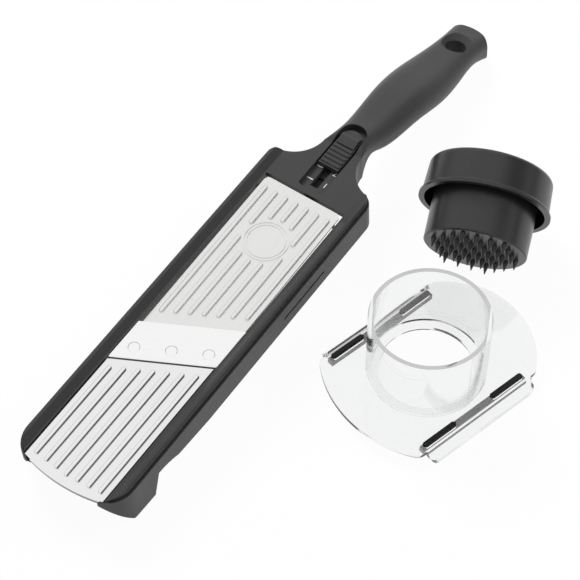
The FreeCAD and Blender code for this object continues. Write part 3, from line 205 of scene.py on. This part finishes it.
# %% [markdown]
# The floor shows itself white to the camera, to mirrors and to clear plastic, but it keeps a little of
# its plain shading, so a soft shadow still grounds the pieces. Light that goes the long way through the
# collar loses part of the floor's white, which draws the grey rim of the collar.

# %% Floor
FLOOR_HALF = 6.0
FLOOR_GLOW = 0.96
LONG_WAY_LOSS = 0.38
SHEET_WHITE = (0.92, 0.92, 0.92, 1)
floor_mesh = bpy.data.meshes.new("floor")
shape = bmesh.new()
bmesh.ops.create_grid(shape, x_segments=1, y_segments=1, size=FLOOR_HALF)
shape.to_mesh(floor_mesh)
shape.free()
floor = bpy.data.objects.new("floor", floor_mesh)
scene.collection.objects.link(floor)
floor_paint = bpy.data.materials.new("white_sheet")
floor_paint.use_nodes = True
tree = floor_paint.node_tree
tree.nodes.clear()
sheet = node(tree, "ShaderNodeBsdfDiffuse")
sheet.inputs["Color"].default_value = SHEET_WHITE
glow = node(tree, "ShaderNodeEmission")
loss = math_node(tree, "MULTIPLY", long_way(tree), LONG_WAY_LOSS)
link(tree, math_node(tree, "SUBTRACT", 1.0, loss), glow.inputs["Strength"])
blend = node(tree, "ShaderNodeMixShader")
surface = node(tree, "ShaderNodeOutputMaterial")
link(tree, math_node(tree, "MULTIPLY", seen_directly(tree), FLOOR_GLOW), blend.inputs["Fac"])
link(tree, sheet.outputs[0], blend.inputs[1])
link(tree, glow.outputs[0], blend.inputs[2])
link(tree, blend.outputs[0], surface.inputs["Surface"])
floor_mesh.materials.append(floor_paint)
print("floor is %.0f metres wide" % (2 * FLOOR_HALF))

# %% [markdown]
# Bright metal only shows its form if the room is not the same white everywhere. So mirrors see a sky
# that is darker low down, with one small dark flag to the right of the far end, whose image draws the
# soft lines on the beads of the ramp plate. Clear plastic would turn black at its edges in such a room,
# so light that has passed through it finds a lighter sky without the flag. The camera itself always
# sees plain white.

# %% Sky
SKY_SOFT = 0.34
SKY_LOW = 0.25
SKY_HIGH = 1.0
LOW_END = 0.0
HIGH_START = 0.5
FLAG_AIM = Vector((0.42, 0.6, 0.68))
FLAG_LEVEL = 0.04
FLAG_INNER = 0.965
FLAG_OUTER = 0.92
THROUGH_LOW = 0.3
THROUGH_LOW_END = -0.2
WHITE = (1, 1, 1, 1)
world = bpy.data.worlds.new("studio")
scene.world = world
world.use_nodes = True
world.cycles.sampling_method = "NONE"
tree = world.node_tree
tree.nodes.clear()
direction = node(tree, "ShaderNodeTexCoord").outputs["Generated"]
height = reach(tree, direction, UP)
height_light = fade(tree, height, LOW_END, HIGH_START, SKY_LOW, SKY_HIGH, "SMOOTHSTEP")
toward_flag = reach(tree, direction, FLAG_AIM.normalized())
flag_light = fade(tree, toward_flag, FLAG_OUTER, FLAG_INNER, SKY_HIGH, FLAG_LEVEL, "SMOOTHSTEP")
through_light = fade(tree, height, THROUGH_LOW_END, HIGH_START, THROUGH_LOW, SKY_HIGH, "SMOOTHSTEP")
level = node(tree, "ShaderNodeMix", data_type="FLOAT")
link(tree, seen_directly(tree), level.inputs["Factor"])
level.inputs["A"].default_value = SKY_SOFT
link(tree, math_node(tree, "MULTIPLY", height_light, flag_light), level.inputs["B"])
backdrop = node(tree, "ShaderNodeMix", data_type="FLOAT")
link(tree, seen_through(tree), backdrop.inputs["Factor"])
link(tree, level.outputs["Result"], backdrop.inputs["A"])
link(tree, through_light, backdrop.inputs["B"])
in_view = node(tree, "ShaderNodeLightPath").outputs["Is Camera Ray"]
sky = node(tree, "ShaderNodeBackground")
sky.inputs["Color"].default_value = WHITE
link(tree, math_node(tree, "MAXIMUM", backdrop.outputs["Result"], in_view), sky.inputs["Strength"])
link(tree, sky.outputs[0], node(tree, "ShaderNodeOutputWorld").inputs["Surface"])
print("sky nodes:", len(tree.nodes))

# %% [markdown]
# Two broad lamps give the soft shading. The key lamp stands high on the left, and a weak fill lamp on
# the right keeps the dark walls from closing up. Both are hidden from mirrors and from clear plastic,
# which see only the sky and the floor.

# %% Lamps
KEY_PLACE = Vector((-1.1, 0.5, 1.3))
KEY_SIZE = 0.8
KEY_POWER = 26.0
FILL_PLACE = Vector((0.5, 0.45, 0.6))
FILL_SIZE = 0.3
FILL_POWER = 2.0


def lamp(name, place, size, power):
    """A broad soft lamp aimed at the middle of the table."""
    data = bpy.data.lights.new(name, "AREA")
    data.shape = "DISK"
    data.size = size
    data.energy = power
    made = bpy.data.objects.new(name, data)
    made.location = aim + place
    made.rotation_euler = (-place).to_track_quat("-Z", "Y").to_euler()
    made.visible_glossy = False
    made.visible_transmission = False
    scene.collection.objects.link(made)


lamp("key_lamp", KEY_PLACE, KEY_SIZE, KEY_POWER)
lamp("fill_lamp", FILL_PLACE, FILL_SIZE, FILL_POWER)

# %% [markdown]
# Moulded plastic is never perfectly even. The mould leaves a fine spark-eroded grain, and handling
# leaves slightly smoother, lighter patches. Both are made once as a group of shader nodes, so that each
# plastic finish can use them with its own strength: a fine noise for the grain and a broad one for the
# patches.

# %% Grain of moulded plastic
GRAIN_SCALE = 1900.0
GRAIN_DETAIL = 2.0
PATCH_SCALE = 28.0
PATCH_DETAIL = 4.0
SPECK_CONTRAST = 0.12
NOISE_MIDDLE = 0.5
GROUP_OUTPUTS = ["Height", "Tone", "Roughness Change"]


def new_group(name, inputs):
    """Start a shader node group with named number sockets."""
    tree = bpy.data.node_groups.new(name, "ShaderNodeTree")
    for label, value in inputs.items():
        socket = tree.interface.new_socket(label, in_out="INPUT", socket_type="NodeSocketFloat")
        socket.default_value = value
    for label in GROUP_OUTPUTS:
        tree.interface.new_socket(label, in_out="OUTPUT", socket_type="NodeSocketFloat")
    place = node(tree, "ShaderNodeTexCoord").outputs["Object"]
    return tree, place, node(tree, "NodeGroupInput").outputs, node(tree, "NodeGroupOutput").inputs


def noise(tree, vector, scale, detail):
    """A plain noise of one scale."""
    made = node(tree, "ShaderNodeTexNoise")
    made.inputs["Scale"].default_value = scale
    made.inputs["Detail"].default_value = detail
    link(tree, vector, made.inputs["Vector"])
    return made.outputs["Fac"]


def around_zero(tree, value):
    """A noise that is moved so that its middle is nothing."""
    return math_node(tree, "SUBTRACT", value, NOISE_MIDDLE)


group, place, given, result = new_group("moulding_grain", {"Patch": 0.1, "Spread": 0.08})
fine = noise(group, place, GRAIN_SCALE, GRAIN_DETAIL)
broad = around_zero(group, noise(group, place, PATCH_SCALE, PATCH_DETAIL))
patch_tone = math_node(group, "MULTIPLY", broad, given["Patch"])
speck_tone = math_node(group, "MULTIPLY", around_zero(group, fine), SPECK_CONTRAST)
uneven_tone = math_node(group, "ADD", patch_tone, speck_tone)
link(group, fine, result["Height"])
link(group, math_node(group, "ADD", uneven_tone, 1.0), result["Tone"])
link(group, math_node(group, "MULTIPLY", broad, given["Spread"]), result["Roughness Change"])
grain_group = group
print(grain_group.name, "nodes:", len(grain_group.nodes))

# %% [markdown]
# Sheet steel comes from the mill with fine lines along its length. A noise that is stretched along the
# slicer gives them: it changes quickly across the sheet and hardly at all along it. The same group
# serves the plates and the blade, with another angle for the blade, whose grinding lines run along its
# edge.

# %% Lines of brushed steel
LINE_SCALE = 2600.0
LINE_DETAIL = 3.0
LINE_STRETCH = 0.015
NO_FOLD = -10.0
# The fold and wall inputs switch on painted shade, which is added in the next step; by default there is
# none.
steel_inputs = {"Angle": 0.0, "Contrast": 0.1, "Spread": 0.1, "Fold": NO_FOLD, "Wall Painted Shade": 0.0}
group, place, given, result = new_group("brushed_lines_and_painted_shade", steel_inputs)
turned = node(group, "ShaderNodeVectorRotate", rotation_type="Z_AXIS")
link(group, place, turned.inputs["Vector"])
link(group, given["Angle"], turned.inputs["Angle"])
stretch = node(group, "ShaderNodeVectorMath", operation="MULTIPLY")
stretch.inputs[1].default_value = (1, LINE_STRETCH, LINE_STRETCH)
link(group, turned.outputs["Vector"], stretch.inputs[0])
lines = around_zero(group, noise(group, stretch.outputs["Vector"], LINE_SCALE, LINE_DETAIL))
line_tone = math_node(group, "MULTIPLY", lines, given["Contrast"])
link(group, lines, result["Height"])
link(group, math_node(group, "MULTIPLY", lines, given["Spread"]), result["Roughness Change"])
brush_and_shade_group = group
print(brush_and_shade_group.name, "nodes:", len(brush_and_shade_group.nodes))

# %% [markdown]
# The folded edge and the bead walls of the exit plate get painted shade: dark lines that stand in for
# the dark reflections and shade they show. The same group darkens what lies deeper than a given level
# below the sheet. It also darkens what stands above the sheet near the right side of a bead, the side
# away from the key lamp: the distance from the slicer's middle is wrapped into one pitch, so that one
# rule serves all beads.

# %% Painted shade on the folds and bead walls of the steel
FOLD_DEPTH = 1.3
FOLD_PAINTED_SHADE = 0.75
BEAD_PITCH = 7.25
WALL_START = 0.8
WALL_END = 1.1
WALL_LIFT = 0.05
sheet_level = start.dot(upward)
half_pitch = BEAD_PITCH * MM / 2
lift = reach(group, place, upward)
# Painted shade on the folded edge, below the fold level.
folded = math_node(group, "LESS_THAN", lift, given["Fold"])
fold_painted_shade = math_node(group, "MULTIPLY", folded, FOLD_PAINTED_SHADE)
# Painted shade on the right walls of the beads, the side away from the key lamp.
raised = math_node(group, "GREATER_THAN", lift, sheet_level + WALL_LIFT * MM)
from_middle = math_node(group, "SUBTRACT", reach(group, place, across), start.x)
in_pitch = math_node(group, "WRAP", from_middle, half_pitch, -half_pitch)
shaded_wall_side = fade(group, in_pitch, WALL_START * MM, WALL_END * MM, 0.0, 1.0)
wall = math_node(group, "MULTIPLY", shaded_wall_side, raised)
wall_painted_shade = math_node(group, "MULTIPLY", wall, given["Wall Painted Shade"])
lines_and_fold_shade = math_node(group, "SUBTRACT", math_node(group, "ADD", line_tone, 1.0), fold_painted_shade)
link(group, math_node(group, "SUBTRACT", lines_and_fold_shade, wall_painted_shade), result["Tone"])
print(brush_and_shade_group.name, "nodes:", len(brush_and_shade_group.nodes))

# %% [markdown]
# The runners look black only where their bars stand up through the slots. The strip between the bars is
# seen through the clear plate and is given painted light there:
# a light grey that stands in for the light that reaches it through the plate. One group gives both: it
# reads the height above the table and fades from the painted grey of the strip to the black of the bars
# just below the top of the plate.

# %% Painted light on the runner strips
STRIP_TOP = 6.4
BAR_START = 7.2
# How much lighter the strip is painted, in place of the light that comes through the clear plate.
STRIP_PAINTED_LIGHT = 30.0
group, place, given, result = new_group("runner_strip_painted_light", {"Spread": 0.1})
fine = noise(group, place, GRAIN_SCALE, GRAIN_DETAIL)
# The strip below the top of the plate gets painted light; the bars above it stay black.
strip_painted_light = fade(group, reach(group, place, UP), STRIP_TOP * MM, BAR_START * MM, STRIP_PAINTED_LIGHT, 1.0)
fine_spread = math_node(group, "MULTIPLY", around_zero(group, fine), given["Spread"])
link(group, fine, result["Height"])
link(group, strip_painted_light, result["Tone"])
link(group, fine_spread, result["Roughness Change"])
runner_light_group = group
print(runner_light_group.name, "nodes:", len(runner_light_group.nodes))

# %% [markdown]
# Each finish is one material. Its own colour and its constant values sit on the shader itself, and the
# group only adds what changes over the surface: the tone, the roughness and the height of the grain.

# %% How a finish is made
RELIEF_DEPTH = 0.05


def textured(name, group, settings, color, roughness, bump, **sockets):
    """A finish whose tone, roughness and relief come from one of the groups."""
    paint = bpy.data.materials.new(name)
    paint.use_nodes = True
    tree = paint.node_tree
    shader = tree.nodes["Principled BSDF"]
    for socket, value in sockets.items():
        shader.inputs[socket.replace("_", " ")].default_value = value
    effect = node(tree, "ShaderNodeGroup")
    effect.node_tree = group
    for label, value in settings.items():
        effect.inputs[label].default_value = value
    shade = node(tree, "ShaderNodeVectorMath", operation="SCALE")
    shade.inputs[0].default_value = color
    link(tree, effect.outputs["Tone"], shade.inputs["Scale"])
    link(tree, shade.outputs["Vector"], shader.inputs["Base Color"])
    rough = math_node(tree, "ADD", effect.outputs["Roughness Change"], roughness, clamp=True)
    link(tree, rough, shader.inputs["Roughness"])
    relief = node(tree, "ShaderNodeBump")
    relief.inputs["Strength"].default_value = bump
    relief.inputs["Distance"].default_value = RELIEF_DEPTH * MM
    link(tree, effect.outputs["Height"], relief.inputs["Height"])
    link(tree, relief.outputs["Normal"], shader.inputs["Normal"])
    return paint


print("a finish is made from", [item.name for item in (grain_group, brush_and_shade_group, runner_light_group)])

# %% [markdown]
# The mouldings differ in darkness and gloss. The frames are a soft charcoal, the pusher is shinier and
# its darker colour is painted shade, its spikes and the runners are nearly black with painted light grey
# strips, and the parts inside are duller. The carriage is the same kind of moulding with nothing in it
# to stop the light.

# %% Plastic finishes
charcoal = textured(
    "charcoal_moulding", grain_group, {"Patch": 0.25, "Spread": 0.12},
    color=(0.05, 0.05, 0.051), roughness=0.42, bump=0.35, Specular_IOR_Level=0.25)
soot = textured(
    "dark_inner_moulding", grain_group, {"Patch": 0.2, "Spread": 0.1},
    color=(0.03, 0.03, 0.031), roughness=0.55, bump=0.3)
# The pusher's darker colour is painted shade: the charcoal moulding as it looks with less light.
pusher_skin = textured(
    "pusher_moulding", grain_group, {"Patch": 0.25, "Spread": 0.12},
    color=(0.02, 0.02, 0.0205), roughness=0.3, bump=0.35)
jet = textured(
    "black_gloss", grain_group, {"Patch": 0.2, "Spread": 0.1},
    color=(0.012, 0.012, 0.012), roughness=0.28, bump=0.1)
# The runners' strips are painted light grey by their group, and the bars stay black.
runner_black = textured(
    "runner_moulding", runner_light_group, {"Spread": 0.1},
    color=(0.012, 0.012, 0.012), roughness=0.4, bump=0.1, Specular_IOR_Level=0.2)
pad_rubber = textured(
    "pad_rubber", grain_group, {"Patch": 0.3, "Spread": 0.1},
    color=(0.03, 0.03, 0.03), roughness=0.8, bump=0.6)
clear = textured(
    "clear_moulding", grain_group, {"Patch": 0.0, "Spread": 0.02},
    color=(0.91, 0.915, 0.915), roughness=0.03, bump=0.01, Transmission_Weight=1.0, IOR=1.46)
plastics = (charcoal, soot, pusher_skin, jet, runner_black, pad_rubber, clear)
print("plastic finishes:", [paint.name for paint in plastics])

# %% [markdown]
# The steels differ in polish. The exit plate is the brightest sheet and has painted shade on its fold
# and bead walls, the ramp plate is a little rougher, the blade is ground along its slanted edge, and the
# screws are plain.

# %% Steel finishes
BLADE_TURN = 27.0
# How dark the right bead walls of the exit plate are painted, as painted shade.
WALL_PAINTED_SHADE = 0.85
fold_level = sheet_level - FOLD_DEPTH * MM
blade_lines = math.pi / 2 - math.radians(BLADE_TURN)
# The exit plate's fold and bead walls carry painted shade.
exit_steel = textured(
    "exit_plate_steel", brush_and_shade_group,
    {"Contrast": 0.12, "Spread": 0.12, "Fold": fold_level, "Wall Painted Shade": WALL_PAINTED_SHADE},
    color=(0.82, 0.82, 0.82), roughness=0.12, bump=0.1, Metallic=1.0)
ramp_steel = textured(
    "ramp_plate_steel", brush_and_shade_group, {"Contrast": 0.14, "Spread": 0.16},
    color=(0.78, 0.78, 0.77), roughness=0.27, bump=0.12, Metallic=1.0)
blade_steel = textured(
    "ground_blade_steel", brush_and_shade_group, {"Angle": blade_lines, "Contrast": 0.1, "Spread": 0.14},
    color=(0.9, 0.9, 0.905), roughness=0.15, bump=0.1, Metallic=1.0)
screw_steel = textured(
    "screw_steel", brush_and_shade_group, {"Contrast": 0.2, "Spread": 0.2},
    color=(0.6, 0.6, 0.61), roughness=0.35, bump=0.1, Metallic=1.0)
steels = (exit_steel, ramp_steel, blade_steel, screw_steel)
print("steel finishes:", [paint.name for paint in steels])

# %% [markdown]
# The solids of the frame keep their meshes, and each one is given its finish. The two runners are left
# for the next step.

# %% Dress the frame
FINISHES = {
    charcoal: ["upper_frame", "lower_frame", "thumb_slider"],
    soot: ["blade_carrier", "ramp_tray", "slider_sled"],
    pusher_skin: ["pusher_cap", "pusher_plunger"],
    jet: ["pusher_spikes"],
    pad_rubber: ["foot_pads"],
    exit_steel: ["exit_plate"],
    ramp_steel: ["ramp_plate"],
    blade_steel: ["blade", "blade_rivets"],
    screw_steel: ["carrier_screws", "housing_screws", "slider_screw", "ramp_hinge_pin", "detent_spring"],
    clear: ["carriage_plate"],
}
for paint, names in FINISHES.items():
    for name in names:
        nodes[name].data.materials.clear()
        nodes[name].data.materials.append(paint)
print("finished nodes:", sum(len(names) for names in FINISHES.values()))

# %% [markdown]
# The runners' strips lie flat against the clear plate in the frame. Two faces in one place confuse the
# light that passes through the plate, so each runner is copied with the top of its strip set a hair
# lower. A strip that is clipped in really has such a thin gap above it.

# %% Runners with an air gap
STRIP_FACE = 5.6
AIR_GAP = 0.08
TOUCHING = 0.02
for name in ("left_runner", "right_runner"):
    shape = bmesh.new()
    shape.from_mesh(nodes[name].data)
    face_points = [vert for vert in shape.verts if abs(vert.co.z - STRIP_FACE * MM) < TOUCHING * MM]
    bmesh.ops.translate(shape, vec=(0, 0, -AIR_GAP * MM), verts=face_points)
    mesh = bpy.data.meshes.new(name + "_seated")
    shape.to_mesh(mesh)
    shape.free()
    mesh.materials.clear()
    mesh.materials.append(runner_black)
    seated = bpy.data.objects.new(name + "_seated", mesh)
    scene.collection.objects.link(seated)
    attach(seated, "carriage")
    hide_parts(name)
    print(seated.name, "points set lower:", len(face_points))

# %% [markdown]
# Beside the thumb slider, small printed marks show where to stop for each thickness. The ticks are thin
# bars with rounded edges, and the numerals are text made into a mesh. Both lie on the floor of the
# recess and are placed in the slicer's own directions, so they follow its tilt.

# %% Printed scale
RECESS_FLOOR = -2.4
INK_THICK = 0.12
MARKS = {"1": 235.0, "2": 245.3}
TICK_RIGHT = -5.3
TICK_LENGTH = 4.0
TICK_WIDTH = 0.7
TICK_ROUND = 0.4
NUMERAL_RIGHT = 5.3
NUMERAL_HEIGHT = 3.6
NUMERAL_SHARE = 0.7
print_ink = textured(
    "white_print", grain_group, {"Patch": 0.1, "Spread": 0.05},
    color=(0.8, 0.8, 0.78), roughness=0.6, bump=0.05)


def settle(name, mesh, right, far):
    """Lay a flat mesh, drawn in millimetres, on the recess floor and let it ride on the slicer."""
    spot = Matrix.Translation(on_slicer(right, far, RECESS_FLOOR))
    mesh.transform(spot @ slicer_turn @ Matrix.Scale(MM, 4))
    mesh.materials.clear()
    mesh.materials.append(print_ink)
    made = bpy.data.objects.new(name, mesh)
    scene.collection.objects.link(made)
    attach(made, "slicer")


def tick(name, far):
    """A short printed bar with rounded edges."""
    shape = bmesh.new()
    bmesh.ops.create_cube(shape, size=1.0)
    bmesh.ops.scale(shape, vec=(TICK_LENGTH, TICK_WIDTH, INK_THICK), verts=shape.verts)
    bmesh.ops.translate(shape, vec=(0, 0, INK_THICK / 2), verts=shape.verts)
    upright = []
    for edge in shape.edges:
        if abs(edge.verts[0].co.z - edge.verts[1].co.z) > INK_THICK / 2:
            upright.append(edge)
    bmesh.ops.bevel(
        shape, geom=upright, offset=TICK_WIDTH * TICK_ROUND,
        affect="EDGES", segments=3, profile=0.5, material=-1)
    mesh = bpy.data.meshes.new(name)
    shape.to_mesh(mesh)
    shape.free()
    settle(name, mesh, TICK_RIGHT, far)


def numeral(name, text, far):
    """A printed numeral of about the wanted height."""
    curve = bpy.data.curves.new(name, "FONT")
    curve.body = text
    curve.size = NUMERAL_HEIGHT / NUMERAL_SHARE
    curve.extrude = INK_THICK
    curve.align_x = "CENTER"
    curve.align_y = "CENTER"
    curve.resolution_u = 3
    writing = bpy.data.objects.new(name + "_text", curve)
    scene.collection.objects.link(writing)
    bpy.context.view_layer.update()
    drawn = writing.evaluated_get(bpy.context.evaluated_depsgraph_get())
    mesh = bpy.data.meshes.new_from_object(drawn)
    bpy.data.objects.remove(writing)
    mesh.name = name
    settle(name, mesh, NUMERAL_RIGHT, far)


for label, far in MARKS.items():
    tick("tick_" + label, far)
    numeral("numeral_" + label, label, far)
print("printed marks:", 2 * len(MARKS))
